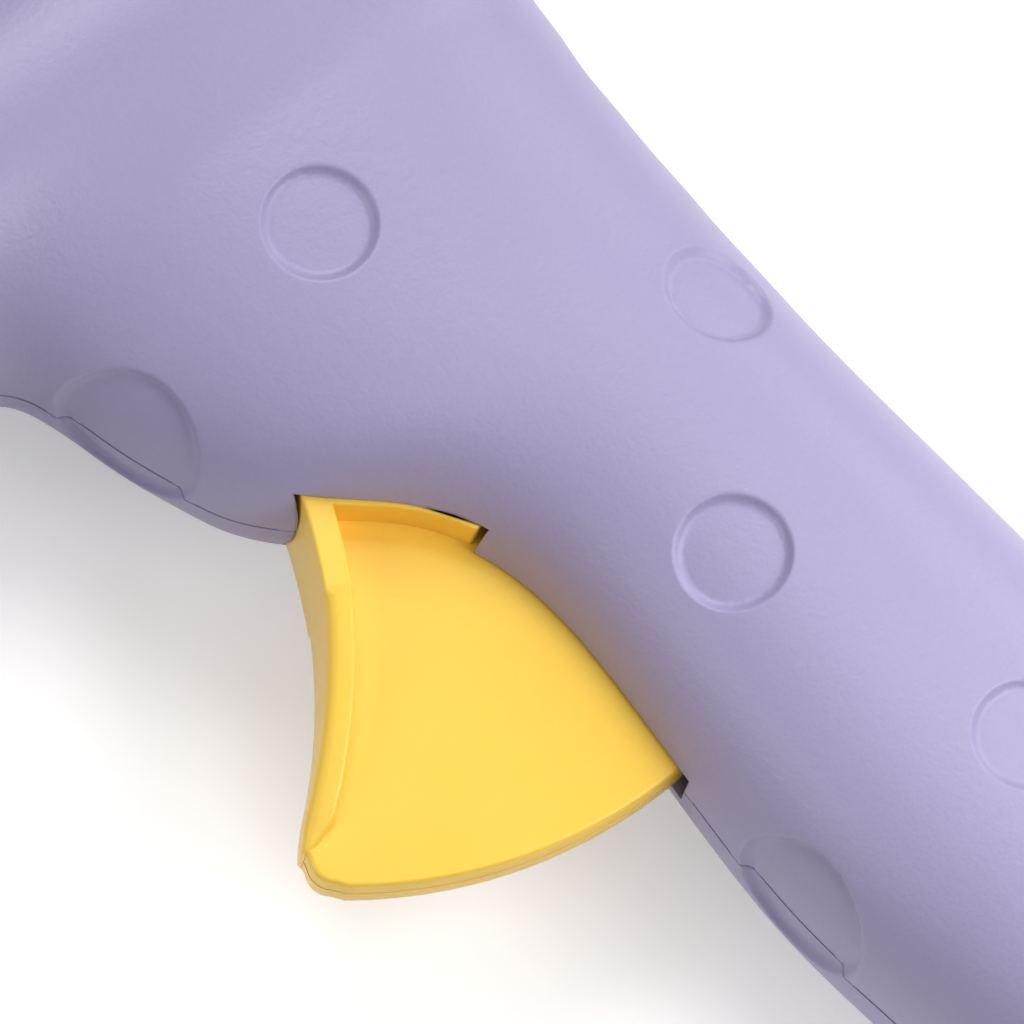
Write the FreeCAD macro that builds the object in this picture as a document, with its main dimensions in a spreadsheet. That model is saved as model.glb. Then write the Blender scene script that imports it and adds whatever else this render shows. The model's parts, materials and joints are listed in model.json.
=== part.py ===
"""Hot-melt glue gun lying on its side: parametric FreeCAD document, one object per piece.

Datum used while building: X along the barrel (nozzle towards -X), Y up the gun (handle towards -Y),
Z across it, with the parting plane of the two housing halves at Z = 0 and the barrel axis on X.
The finished pieces are then shifted so that the origin is the bottom centre of the whole gun.
"""
import FreeCAD, Part

import math
import os

import Sketcher

Vector = FreeCAD.Vector
X_AXIS = Vector(1, 0, 0)
Y_AXIS = Vector(0, 1, 0)
Z_AXIS = Vector(0, 0, 1)

# Driving dimensions, in millimetres and degrees: alias, value, what it is.
SIZES = [
    ("wall", 2.2, "housing wall thickness"),
    ("half_thickness", 17.8, "half the thickness of barrel and butt"),
    ("barrel_front", -72.0, "front end of the housing"),
    ("barrel_rear", 41.0, "rear end of the housing"),
    ("butt_level", -114.0, "bottom end of the handle"),
    ("squareness", 2.35, "exponent of the rounded cross-sections"),
    ("pivot_along", 5.2, "trigger pivot, along the barrel"),
    ("pivot_level", -30.5, "trigger pivot, below the barrel axis"),
    ("pivot_pin_radius", 2.0, "trigger pin"),
    ("pivot_hole_radius", 2.05, "running hole on the trigger pin"),
    ("web_radius", 43.9, "bottom edge of the trigger web about the pivot"),
    ("web_width", 4.2, "thickness of the trigger web"),
    ("pad_width", 12.0, "width of the trigger finger plate and block"),
    ("hub_radius", 5.0, "trigger hub"),
    ("arm_length", 17.5, "pivot to drive pin"),
    ("arm_width", 4.0, "thickness of the trigger arm"),
    ("pull_angle", 25.0, "full pull of the trigger"),
    ("block_radius", 18.4, "reach of the trigger block about the pivot"),
    ("play", 0.5, "gap between the trigger and its opening"),
    ("drive_pin_radius", 1.5, "drive pin"),
    ("stick_bore_radius", 5.9, "bore for an 11.2 mm glue stick"),
    ("carriage_radius", 9.0, "outside of the feed carriage"),
    ("carriage_length", 10.0, "length of the feed carriage"),
    ("fork_width", 11.2, "outside width of the carriage fork"),
    ("guide_rod_radius", 1.5, "guide rod"),
    ("guide_rod_level", 11.6, "guide rod above the barrel axis"),
    ("guide_rod_front", -25.0, "front end of the guide rod"),
    ("guide_rod_length", 49.0, "length of the guide rod"),
    ("chamber_radius", 7.4, "melt chamber"),
    ("chamber_front", -74.0, "front end of the melt chamber"),
    ("chamber_rear", -38.0, "rear end of the melt chamber"),
    ("nozzle_tip", -100.0, "tip of the nozzle"),
    ("nozzle_bore_radius", 1.0, "bore of the nozzle"),
    ("heater_length", 14.4, "heater plate, along the barrel"),
    ("heater_thickness", 1.6, "heater plate"),
    ("heater_width", 11.0, "heater plate, across the gun"),
    ("heater_level", -8.5, "middle of the heater plate"),
    ("boss_radius", 3.4, "screw boss"),
    ("screw_radius", 1.45, "case screw shank"),
    ("screw_head_radius", 2.7, "case screw head"),
    ("screw_seat", 7.5, "depth of the screw head seat from the parting plane"),
    ("cord_bore_radius", 3.1, "bore of the cord inlet"),
    ("gland_radius", 5.2, "outside of the cord inlet bush"),
    ("gland_along", 31.0, "cord inlet, along the barrel"),
    ("stand_wire_radius", 1.25, "wire stand"),
    ("stand_pivot_along", -60.0, "wire stand pivot, along the barrel"),
    ("stand_pivot_level", -16.4, "wire stand pivot, below the barrel axis"),
    ("stand_reach", 32.0, "length of the wire stand"),
    ("stand_half_width", 10.8, "half width of the wire stand"),
    ("lead_radius", 0.9, "insulated heater lead"),
]

# Side outline of the housing below the barrel: level, front edge, back edge, half thickness.
HANDLE_STATIONS = [
    (-5.0, -19.5, 40.4, 15.2),
    (-13.5, -16.9, 40.4, 15.0),
    (-19.0, -14.6, 40.3, 14.9),
    (-25.0, -12.7, 40.2, 14.7),
    (-31.0, -10.2, 40.3, 14.5),
    (-35.0, -8.0, 40.5, 14.4),
    (-38.6, -4.5, 40.6, 14.3),
    (-44.0, 2.0, 40.9, 14.2),
    (-49.5, 5.9, 41.2, 14.2),
    (-57.0, 8.0, 41.9, 14.3),
    (-66.0, 8.4, 43.0, 14.6),
    (-76.0, 8.1, 44.2, 15.0),
    (-90.0, 8.2, 45.8, 15.8),
    (-102.0, 10.0, 47.2, 16.7),
    (-110.0, 11.4, 48.0, 17.7),
    (-114.0, 13.4, 46.8, 16.6),
]

# Barrel of the housing: place along X, middle level, half height, half thickness.
BARREL_STATIONS = [
    (-72.0, 0.4, 11.4, 11.8),
    (-68.0, 0.7, 13.2, 13.8),
    (-58.0, 1.4, 14.9, 16.0),
    (-40.0, 2.1, 16.0, 17.4),
    (-20.0, 2.4, 16.2, 17.8),
    (0.0, 2.4, 16.2, 17.8),
    (16.0, 2.3, 16.1, 17.7),
    (28.0, 1.8, 15.6, 16.9),
    (36.0, 1.1, 14.3, 15.2),
    (41.0, 0.6, 12.0, 12.4),
]

# Cord clamp: level below the barrel axis, and screw distance either side of the cord.
CLAMP_LEVEL = -99.5
CLAMP_SPREAD = 5.8

# Case screw places in the datum, X then Y.
CASE_SCREWS = [(-60.0, 11.4), (-31.0, 13.0), (31.0, 11.8), (-9.0, -19.0), (33.5, -42.0), (19.0, -88.0), (40.5, -87.0)]

# Ribs across the barrel: place along X, radius of the round opening about the barrel axis.
BARREL_RIBS = [(-63.2, 7.5), (-43.0, 7.5), (-24.0, 8.1), (22.0, 8.1)]
RIB_THICKNESS = 2.0

# Heater leads: places Z of the two runs beside the trigger and the turning points of their route.
LEAD_SIDES = (-7.6, -9.8)
LEAD_ROUTE = [(-44.2, -8.2), (27.5, -8.2), (27.5, -82.0)]

document = FreeCAD.newDocument("glue_gun")
sheet = document.addObject("Spreadsheet::Sheet", "Sizes")
pieces = []


def fill_sheet():
    """Write every driving dimension into the sheet under its own alias."""
    for row, (alias, value, meaning) in enumerate(SIZES, start=1):
        sheet.set(f"A{row}", meaning)
        sheet.set(f"B{row}", str(value))
        sheet.setAlias(f"B{row}", alias)
    document.recompute()


def size(alias):
    """Number held by the sheet under an alias."""
    return float(sheet.get(alias))


def value_of(expression):
    """Number of an expression written with sheet aliases, or of a plain number."""
    if isinstance(expression, (int, float)):
        return float(expression)
    return float(sheet.evalExpression(bound(expression)))


def bound(expression):
    """The expression with each sheet alias named through the sheet."""
    words = expression.replace("(", "( ").replace(")", " )").split(" ")
    names = {alias for alias, _, _ in SIZES}
    return " ".join("Sizes." + word if word in names else word for word in words)


def bind(item, name, expression):
    """Bind a property to an expression in sheet aliases, or set a plain number."""
    if isinstance(expression, (int, float)):
        setattr(item, name, expression)
        return
    item.setExpression(name, bound(expression))


# ---------------------------------------------------------------- features

def new_body(label):
    """Start a PartDesign body for one piece."""
    body = document.addObject("PartDesign::Body", label)
    body.Label = label
    pieces.append(body)
    return body


def origin_plane(body, role):
    """One of the body's own origin planes."""
    return next(item for item in body.Origin.OriginFeatures if item.Role == role)


def arc_middle(start, end, radius):
    """Middle point of the short arc between two points; a positive radius bulges to the right."""
    chord = end - start
    half = chord.Length / 2
    rise = abs(radius) - math.sqrt(radius * radius - half * half)
    side = Vector(chord.y, -chord.x, 0).normalize()
    return (start + end) * 0.5 + side * math.copysign(rise, radius)


def outline(body, name, corners, role="XY_Plane"):
    """Closed sketch through corners (x, y) or (x, y, arc radius to the next corner), in aliases."""
    sketch = body.newObject("Sketcher::SketchObject", name)
    sketch.AttachmentSupport = [(origin_plane(body, role), "")]
    sketch.MapMode = "FlatFace"
    points = [Vector(value_of(corner[0]), value_of(corner[1]), 0) for corner in corners]
    count = len(corners)
    for index, corner in enumerate(corners):
        start = points[index]
        end = points[(index + 1) % count]
        if len(corner) == 3:
            sketch.addGeometry(Part.Arc(start, arc_middle(start, end, corner[2]), end), False)
        else:
            sketch.addGeometry(Part.LineSegment(start, end), False)
    for index, corner in enumerate(corners):
        start_end = 1 if starts_at(sketch, index, points[index]) else 2
        for kind, expression in (("DistanceX", corner[0]), ("DistanceY", corner[1])):
            number = value_of(expression)
            place = sketch.addConstraint(Sketcher.Constraint(kind, -1, 1, index, start_end, number))
            if isinstance(expression, str):
                sketch.setExpression(f"Constraints[{place}]", bound(expression))
    for index in range(count):
        following = (index + 1) % count
        end_side = 2 if starts_at(sketch, index, points[index]) else 1
        start_side = 1 if starts_at(sketch, following, points[following]) else 2
        sketch.addConstraint(Sketcher.Constraint("Coincident", index, end_side, following, start_side))
        if len(corners[index]) == 3:
            sketch.addConstraint(Sketcher.Constraint("Radius", index, abs(corners[index][2])))
    return sketch


def starts_at(sketch, index, point):
    """Whether a sketch curve's own start lies on a point."""
    return (sketch.getPoint(index, 1) - point).Length < 1e-6


def pad(body, name, corners, width, role="XY_Plane"):
    """Symmetric pad of an outline."""
    feature = body.newObject("PartDesign::Pad", name)
    feature.Profile = outline(body, name + "_outline", corners, role)
    feature.SideType = "Symmetric"
    bind(feature, "Length", width)
    document.recompute()
    return feature


def circle_sketch(body, name, along, level, radius, role="XY_Plane"):
    """Sketch of one circle whose centre and radius follow the sheet."""
    sketch = body.newObject("Sketcher::SketchObject", name)
    sketch.AttachmentSupport = [(origin_plane(body, role), "")]
    sketch.MapMode = "FlatFace"
    centre = Vector(value_of(along), value_of(level), 0)
    sketch.addGeometry(Part.Circle(centre, Z_AXIS, value_of(radius)), False)
    targets = [("DistanceX", along, centre.x), ("DistanceY", level, centre.y)]
    for kind, expression, number in targets:
        place = sketch.addConstraint(Sketcher.Constraint(kind, -1, 1, 0, 3, number))
        if isinstance(expression, str):
            sketch.setExpression(f"Constraints[{place}]", bound(expression))
    place = sketch.addConstraint(Sketcher.Constraint("Radius", 0, value_of(radius)))
    if isinstance(radius, str):
        sketch.setExpression(f"Constraints[{place}]", bound(radius))
    return sketch


def disc(body, name, along, level, radius, width, role="XY_Plane"):
    """Symmetric pad of a circle."""
    feature = body.newObject("PartDesign::Pad", name)
    feature.Profile = circle_sketch(body, name + "_circle", along, level, radius, role)
    feature.SideType = "Symmetric"
    bind(feature, "Length", width)
    document.recompute()
    return feature


def drill(body, name, along, level, radius, role="XY_Plane"):
    """Round hole through a body, both ways from the plane."""
    feature = body.newObject("PartDesign::Pocket", name)
    feature.Profile = circle_sketch(body, name + "_circle", along, level, radius, role)
    feature.SideType = "Symmetric"
    feature.Type = "Length"
    feature.Length = 400
    before = body.Shape.Volume
    document.recompute()
    if body.Shape.Volume >= before:
        raise RuntimeError(name + " removed nothing")
    return feature


def cut_outline(body, name, corners, width, role="XY_Plane"):
    """Pocket of an outline, symmetric about its plane."""
    feature = body.newObject("PartDesign::Pocket", name)
    feature.Profile = outline(body, name + "_outline", corners, role)
    feature.SideType = "Symmetric"
    feature.Type = "Length"
    bind(feature, "Length", width)
    before = body.Shape.Volume
    document.recompute()
    if body.Shape.Volume >= before:
        raise RuntimeError(name + " removed nothing")
    return feature


def turned(label, corners):
    """Body of revolution about the barrel axis through corners (place along X, radius)."""
    body = new_body(label)
    sketch = outline(body, label + "_profile", corners)
    feature = body.newObject("PartDesign::Revolution", label + "_turned")
    feature.Profile = sketch
    feature.ReferenceAxis = (sketch, ["H_Axis"])
    feature.Angle = 360
    document.recompute()
    return body


def cylinder(label, radius, height, place, direction):
    """Part cylinder with bound radius and height, from a place along a direction."""
    item = document.addObject("Part::Cylinder", label)
    item.Label = label
    bind(item, "Radius", radius)
    bind(item, "Height", height)
    item.Placement = FreeCAD.Placement(place, FreeCAD.Rotation(Z_AXIS, direction))
    return item


def keep_shape(label, shape):
    """Plain feature for a piece whose shape Part's functions make."""
    item = document.addObject("Part::Feature", label)
    item.Label = label
    item.Shape = shape
    pieces.append(item)
    return item


# ---------------------------------------------------------------- housing

def rounded_section(centre, across, along, half_across, half_along):
    """Closed curve with squarish rounded corners about a centre, in the plane of two directions."""
    power = 2.0 / size("squareness")
    count = 28
    points = []
    for step in range(count):
        angle = 2 * math.pi * (step + 0.5) / count
        cosine = math.cos(angle)
        sine = math.sin(angle)
        first = math.copysign(abs(cosine) ** power, cosine) * half_across
        second = math.copysign(abs(sine) ** power, sine) * half_along
        points.append(centre + across * first + along * second)
    curve = Part.BSplineCurve()
    curve.interpolate(Points=points, PeriodicFlag=True)
    return Part.Wire(curve.toShape())


def barrel_body(inset):
    """Solid of the barrel, drawn in by an inset on every side."""
    sections = []
    last = len(BARREL_STATIONS) - 1
    for index, (along, level, half_height, half_width) in enumerate(BARREL_STATIONS):
        place = along
        if index == 0:
            place = along + inset
        if index == last:
            place = along - inset
        centre = Vector(place, level, 0)
        sections.append(rounded_section(centre, Y_AXIS, Z_AXIS, half_height - inset, half_width - inset))
    return Part.makeLoft(sections, True, False)


def handle_body(inset):
    """Solid of the handle and the front of the housing below the barrel, drawn in by an inset."""
    sections = []
    last = len(HANDLE_STATIONS) - 1
    for index, (level, front, back, half_width) in enumerate(HANDLE_STATIONS):
        height = level + inset if index == last else level
        centre = Vector((front + back) / 2, height, 0)
        half_depth = (back - front) / 2 - inset
        sections.append(rounded_section(centre, X_AXIS, Z_AXIS, half_depth, half_width - inset))
    return Part.makeLoft(sections, True, False)


def block(low, high):
    """Box between two corners."""
    span = Vector(*high) - Vector(*low)
    return Part.makeBox(span.x, span.y, span.z, Vector(*low))


def rod(radius, start, end):
    """Cylinder between two points."""
    start = Vector(*start)
    end = Vector(*end)
    return Part.makeCylinder(radius, (end - start).Length, start, end - start)


def pivot():
    """Trigger pivot in the datum."""
    return size("pivot_along"), size("pivot_level")


def trigger_opening():
    """Space in the housing for the trigger block, web and finger plate over their whole swing."""
    along, level = pivot()
    half_pad = size("pad_width") / 2 + size("play") / 2
    half_web = size("web_width") / 2 + size("play") / 2
    block_sweep = rod(size("block_radius") + size("play"), (along, level, -half_pad), (along, level, half_pad))
    block_sweep = block_sweep.common(block((-4.5, level - 30, -30), (40, level - 3, 30)))
    web_sweep = rod(size("web_radius") + size("play") * 2, (along, level, -half_web), (along, level, half_web))
    web_sweep = web_sweep.common(block((-2.0, level - 60, -30), (34, level - 6, 30)))
    return block_sweep.fuse(web_sweep)


def boss_shapes():
    """Solids standing in the housing for case screws, trigger pin and guide rod."""
    along, level = pivot()
    half = size("half_thickness")
    pin_gap = size("pad_width") / 2 + 0.4
    bosses = [rod(size("boss_radius"), (x, y, -half), (x, y, half)) for x, y in CASE_SCREWS]
    for side in (-1, 1):
        bosses.append(rod(4.2, (along, level, side * pin_gap), (along, level, side * half)))
    return bosses


def rib_shapes():
    """Cross ribs that carry the melt chamber, its sleeve and the stick guide."""
    ribs = []
    for along, radius in BARREL_RIBS:
        plate = block((along, -13.0, -20), (along + RIB_THICKNESS, 20, 20))
        ribs.append(plate.cut(rod(radius, (along - 1, 0, 0), (along + 4, 0, 0))))
    return ribs


def lead_spaces():
    """Spaces through the ribs for the heater leads."""
    level = LEAD_ROUTE[0][1]
    return [rod(size("lead_radius") + 0.5, (-70, level, z), (34, level, z)) for z in LEAD_SIDES]


def housing_holes():
    """Openings that pass through the housing walls."""
    rod_level = size("guide_rod_level")
    gland = size("gland_along")
    stand = (size("stand_pivot_along"), size("stand_pivot_level"))
    along, level = pivot()
    return [
        rod(8.6, (-80, 0, 0), (-69.0, 0, 0)),
        rod(7.95, (36, 0, 0), (45, 0, 0)),
        rod(size("guide_rod_radius") + 0.02, (-26, rod_level, 0), (25, rod_level, 0)),
        rod(size("gland_radius") + 0.02, (gland, -120, 0), (gland, -104.4, 0)),
        rod(size("pivot_hole_radius"), (along, level, -12), (along, level, 12)),
        rod(size("stand_wire_radius") + 0.1, (*stand, -14), (*stand, 14)),
        trigger_opening(),
    ]


def stand_lugs():
    """Two ears under the barrel that carry the wire stand."""
    along = size("stand_pivot_along")
    level = size("stand_pivot_level")
    ears = []
    for side in (-1, 1):
        low, high = sorted((side * 4.0, side * 9.0))
        cheek = block((along - 3, level, low), (along + 3, level + 4.3, high))
        ears.append(cheek.fuse(rod(3.0, (along, level, low), (along, level, high))))
    return ears


def screw_spaces(side):
    """Counterbored clearance holes on one side, pilot holes on the other."""
    spaces = []
    seat = size("screw_seat")
    for x, y in CASE_SCREWS:
        if side < 0:
            spaces.append(rod(1.6, (x, y, 1), (x, y, -seat - 1)))
            spaces.append(rod(size("screw_head_radius") + 0.3, (x, y, -seat), (x, y, -30)))
        else:
            spaces.append(rod(size("screw_radius") + 0.05, (x, y, -1), (x, y, 8.0)))
    return spaces


def housing_half(label, side, outer, hollow, inner_works):
    """One half of the housing, on one side of the parting plane."""
    low, high = (0, 30) if side > 0 else (-30, 0)
    half_space = block((-120, -130, low), (80, 40, high))
    shell = outer.cut(hollow).common(half_space)
    half_works = [item.common(half_space) for item in inner_works]
    if side < 0:
        half_works += clamp_posts()
    half = shell.fuse([item for item in half_works if item.Volume > 0])
    half = half.cut(housing_holes()).cut(screw_spaces(side)).cut(lead_spaces())
    return keep_shape(label, half)


def clamp_posts():
    """Two posts under the cord clamp bar, in the left half only."""
    posts = []
    for along in (size("gland_along") - CLAMP_SPREAD, size("gland_along") + CLAMP_SPREAD):
        post = rod(2.9, (along, CLAMP_LEVEL, -15.6), (along, CLAMP_LEVEL, -1.6))
        posts.append(post.cut(rod(1.3, (along, CLAMP_LEVEL, -7), (along, CLAMP_LEVEL, 0))))
    return posts


def make_housing():
    """Both halves: barrel and handle shell with bosses, ribs and openings."""
    wall = size("wall")
    outer = barrel_body(0).fuse(handle_body(0))
    hollow = barrel_body(wall).fuse(handle_body(wall))
    gland = size("gland_along")
    gland_boss = rod(size("gland_radius") + 2.2, (gland, -113, 0), (gland, -104.5, 0))
    works = [item.common(outer) for item in boss_shapes() + rib_shapes() + [gland_boss]]
    works += stand_lugs()
    housing_half("right_shell", 1, outer, hollow, works)
    housing_half("left_shell", -1, outer, hollow, works)


# ---------------------------------------------------------------- trigger and feed

def make_trigger():
    """Swing trigger: finger plate, thin web, wide block, hub and drive arm."""
    body = new_body("trigger")
    along, level = pivot()
    reach = size("web_radius")
    front_angle = math.radians(37.0)
    rear_angle = math.radians(4.0)
    front_foot = (along - reach * math.sin(front_angle), level - reach * math.cos(front_angle))
    rear_foot = (along + reach * math.sin(rear_angle), level - reach * math.cos(rear_angle))
    pad(body, "web", [
        (-2.6, -38.2, -55.0),
        (-21.5, -61.7, 2.6),
        (*front_foot, reach),
        (*rear_foot,),
        (10.2, -46.0),
        (9.4, -31.0),
        (0.0, -31.0),
    ], "web_width")
    pad(body, "finger_plate", [
        (-4.05, -38.0, -55.0),
        (-21.55, -61.5),
        (-19.7, -62.9, 52.7),
        (-2.1, -39.4),
        (1.5, -36.0),
    ], "pad_width")
    for side in (-1, 1):
        cut_outline(body, f"plate_taper_{side + 2}", [
            (-48.8, side * 6.01),
            (-62.95, side * 2.15),
            (-62.95, side * 6.5),
            (-48.8, side * 6.5),
        ], 60.0, "YZ_Plane")
    pad(body, "guard_block", [
        (-4.0, -37.7),
        (-1.2, -40.6),
        (3.1, -44.2, 12.0),
        (6.25, -48.5),
        (9.4, -46.4),
        (9.9, -31.5),
        (0.5, -31.5),
    ], "pad_width")
    disc(body, "hub", "pivot_along", "pivot_level", "hub_radius", "pad_width")
    lean = math.radians(size("pull_angle") / 2)
    tip = (along + size("arm_length") * math.sin(lean), level + size("arm_length") * math.cos(lean))
    side = 2.8
    edge = (side * math.cos(lean), side * math.sin(lean))
    pad(body, "arm", [
        (along - edge[0], level + edge[1]),
        (along + edge[0], level - edge[1]),
        (tip[0] + edge[0], tip[1] - edge[1], 2.81),
        (tip[0] - edge[0], tip[1] + edge[1]),
    ], "arm_width")
    drill(body, "pivot_hole", "pivot_along", "pivot_level", "pivot_hole_radius")
    drill(body, "drive_hole", tip[0], tip[1], "drive_pin_radius")
    spring_room(body)
    return tip


def spring_room(body):
    """Room for the return spring beside the hub, on one side of the arm only."""
    sketch = circle_sketch(body, "spring_room_circle", "pivot_along", "pivot_level", 5.4)
    sketch.AttachmentOffset = FreeCAD.Placement(Vector(0, 0, 2.2), FreeCAD.Rotation())
    feature = body.newObject("PartDesign::Pocket", "spring_room")
    feature.Profile = sketch
    feature.Type = "Length"
    feature.Length = 20
    feature.Reversed = True
    before = body.Shape.Volume
    document.recompute()
    if body.Shape.Volume >= before:
        raise RuntimeError("spring_room removed nothing")


def make_pins(tip):
    """Trigger pin in the housing bosses and drive pin in the trigger arm."""
    along, level = pivot()
    pieces.append(cylinder("trigger_pin", "pivot_pin_radius", 23.0, Vector(along, level, -11.5), Z_AXIS))
    start = Vector(tip[0], tip[1], -size("fork_width") / 2)
    pieces.append(cylinder("drive_pin", "drive_pin_radius", "fork_width", start, Z_AXIS))


def make_return_spring():
    """Torsion spring round the trigger pin, with one leg in the trigger."""
    along, level = pivot()
    wire_radius = 0.45
    coil_radius = 3.6
    pitch = 0.95
    path = Part.makeHelix(pitch, pitch * 3, coil_radius)
    path.translate(Vector(along, level, 2.75))
    start = path.Vertexes[0].Point
    profile = Part.Wire(Part.Circle(start, Y_AXIS, wire_radius).toShape())
    coil = Part.Wire(path.Edges).makePipeShell([profile], True, True)
    foot = rod(wire_radius, start, start - Y_AXIS * 3.0)
    keep_shape("return_spring", coil.fuse(foot))


def make_carriage(tip):
    """Ring round the glue stick with a guide lug above and a fork below for the drive pin."""
    front = tip[0] - size("carriage_length") / 2
    rear = tip[0] + size("carriage_length") / 2
    body = turned("feed_carriage", [
        (front, 6.3), (rear, 6.3), (rear, "carriage_radius"), (front, "carriage_radius"),
    ])
    pad(body, "lug", [(front, 8.0), (rear, 8.0), (rear, 14.4), (front, 14.4)], 7.0)
    fork_front = front + 0.8
    fork_rear = rear - 0.8
    pad(body, "fork", [(fork_front, -17.2), (fork_rear, -17.2), (fork_rear, -7.4), (fork_front, -7.4)],
        "fork_width")
    cut_outline(body, "fork_gap", [(front - 1, -19), (rear + 1, -19), (rear + 1, -9.2), (front - 1, -9.2)], 5.0)
    slot_half = size("drive_pin_radius") + 0.15
    slot = (tip[0] - slot_half, tip[0] + slot_half)
    cut_outline(body, "pin_slot", [(slot[0], -19), (slot[1], -19), (slot[1], -10.6), (slot[0], -10.6)], 30.0)
    cut_outline(body, "jaw_gap", [(front - 1, 5.0), (rear - 1.5, 5.0), (rear - 1.5, 9.6), (front - 1, 9.6)], 4.2)
    drill(body, "rod_hole", "guide_rod_level", 0.0, "guide_rod_radius + 0.05", "YZ_Plane")
    drill(body, "jaw_pin_hole", tip[0] + 1.8, 7.9, 0.8)


def make_jaw(tip):
    """Toothed lever in the carriage that bites into the stick, and its pin."""
    heel = tip[0] + 1.8
    body = new_body("feed_jaw")
    pad(body, "lever", [
        (heel - 6.0, 6.6), (heel - 4.9, 7.0), (heel - 4.0, 6.6), (heel - 2.9, 7.0), (heel - 2.0, 6.6),
        (heel + 1.2, 6.9), (heel + 1.2, 8.9), (heel - 6.0, 8.9),
    ], 3.8)
    drill(body, "lever_hole", heel, 7.9, 0.85)
    pieces.append(cylinder("jaw_pin", 0.8, 6.6, Vector(heel, 7.9, -3.3), Z_AXIS))


def make_guide_rod():
    """Steel rod that the carriage slides on."""
    start = Vector(size("guide_rod_front"), size("guide_rod_level"), 0)
    pieces.append(cylinder("guide_rod", "guide_rod_radius", "guide_rod_length", start, X_AXIS))


# ---------------------------------------------------------------- melting end

def make_nozzle():
    """Brass nozzle with a shank in the melt chamber and a hexagon behind the tip."""
    body = turned("nozzle", [
        ("nozzle_tip", "nozzle_bore_radius"),
        (-96.0, "nozzle_bore_radius"),
        (-90.0, 2.0),
        (-68.0, 2.0),
        (-68.0, 4.0),
        ("chamber_front", 4.0),
        ("chamber_front", 5.5),
        (-84.0, 5.5),
        ("nozzle_tip + 1", 1.9),
        ("nozzle_tip", 1.9),
    ])
    hexagon = [(6.2 * math.cos(math.radians(60 * k + 30)), 6.2 * math.sin(math.radians(60 * k + 30)))
               for k in range(6)]
    sketch = outline(body, "hexagon_outline", hexagon, "YZ_Plane")
    sketch.AttachmentOffset = FreeCAD.Placement(Vector(0, 0, -78.0), FreeCAD.Rotation())
    feature = body.newObject("PartDesign::Pad", "hexagon")
    feature.Profile = sketch
    feature.Length = 3.5
    document.recompute()
    drill(body, "hexagon_bore", 0.0, 0.0, "nozzle_bore_radius", "YZ_Plane")


def make_melting_end():
    """Nozzle sleeve, front collar, melt chamber, heater, inlet sleeve and its clip."""
    turned("nozzle_sleeve", [(-96.5, 3.3), (-84.0, 5.6), (-80.0, 5.6), (-80.0, 7.6), (-85.0, 7.4), (-96.5, 4.6)])
    turned("nozzle_collar", [
        (-79.5, 7.0), (-65.4, 7.0), (-65.4, 10.0), (-67.4, 10.0), (-67.4, 8.5), (-78.0, 8.5), (-79.5, 7.9),
    ])
    chamber = turned("melt_chamber", [
        ("chamber_front", 4.0), (-68.0, 4.0), (-64.0, 4.0), (-56.0, "stick_bore_radius"),
        ("chamber_rear", "stick_bore_radius"), ("chamber_rear", "chamber_radius"),
        (-64.0, "chamber_radius"), (-64.0, 6.8), ("chamber_front", 6.8),
    ])
    pad(chamber, "heater_seat", [(-61.0, -10.2), (-45.4, -10.2), (-45.4, -6.6), (-61.0, -6.6)], 12.4)
    cut_outline(chamber, "heater_slot", [(-60.0, -9.35), (-44.0, -9.35), (-44.0, -7.65), (-60.0, -7.65)], 30.0)
    heater = document.addObject("Part::Box", "ptc_heater")
    heater.Label = "ptc_heater"
    bind(heater, "Length", "heater_length")
    bind(heater, "Width", "heater_thickness")
    bind(heater, "Height", "heater_width")
    corner = Vector(-59.9, size("heater_level") - size("heater_thickness") / 2, -size("heater_width") / 2)
    heater.Placement.Base = corner
    pieces.append(heater)
    turned("inlet_sleeve", [
        (-40.5, 7.45), (-37.9, 7.45), (-37.9, 6.2), (-18.0, 6.2), (-18.0, 8.0), (-36.5, 8.0), (-36.5, 9.0), (-40.5, 9.0),
    ])
    turned("sleeve_clip", [(-39.8, 9.05), (-37.4, 9.05), (-37.4, 9.7), (-39.8, 9.7)])


def make_stick_guide():
    """Flanged tube at the rear that takes the glue stick."""
    turned("stick_guide", [
        (19.5, 6.4), (40.0, 6.4), (42.0, 7.4), (43.0, 7.6), (43.0, 10.0), (41.2, 10.4), (41.2, 7.9), (19.5, 7.9),
    ])


# ---------------------------------------------------------------- handle works

def make_cord_inlet():
    """Bush at the butt for the mains cord, the clamp bar behind it and its screws."""
    body = new_body("cord_gland")
    centre = size("gland_along")
    sketch = circle_sketch(body, "gland_circle", centre, 0.0, "gland_radius", "XZ_Plane")
    sketch.AttachmentOffset = FreeCAD.Placement(Vector(0, 0, 104.9), FreeCAD.Rotation())
    tube = body.newObject("PartDesign::Pad", "gland_tube")
    tube.Profile = sketch
    tube.Length = 9.0
    document.recompute()
    drill(body, "gland_bore", centre, 0.0, "cord_bore_radius", "XZ_Plane")
    bar = new_body("cord_clamp")
    pad(bar, "clamp_bar", [
        (centre - 8, CLAMP_LEVEL - 2), (centre + 8, CLAMP_LEVEL - 2),
        (centre + 8, CLAMP_LEVEL + 2), (centre - 8, CLAMP_LEVEL + 2),
    ], 3.0)
    drill(bar, "clamp_hole_front", centre - CLAMP_SPREAD, CLAMP_LEVEL, 1.3)
    drill(bar, "clamp_hole_rear", centre + CLAMP_SPREAD, CLAMP_LEVEL, 1.3)
    screws = []
    for along in (centre - CLAMP_SPREAD, centre + CLAMP_SPREAD):
        head = rod(2.0, (along, CLAMP_LEVEL, 1.5), (along, CLAMP_LEVEL, 3.0))
        screws.append(rod(1.25, (along, CLAMP_LEVEL, -6.0), (along, CLAMP_LEVEL, 1.5)).fuse(head))
    keep_shape("clamp_screws", Part.makeCompound(screws))


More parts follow.
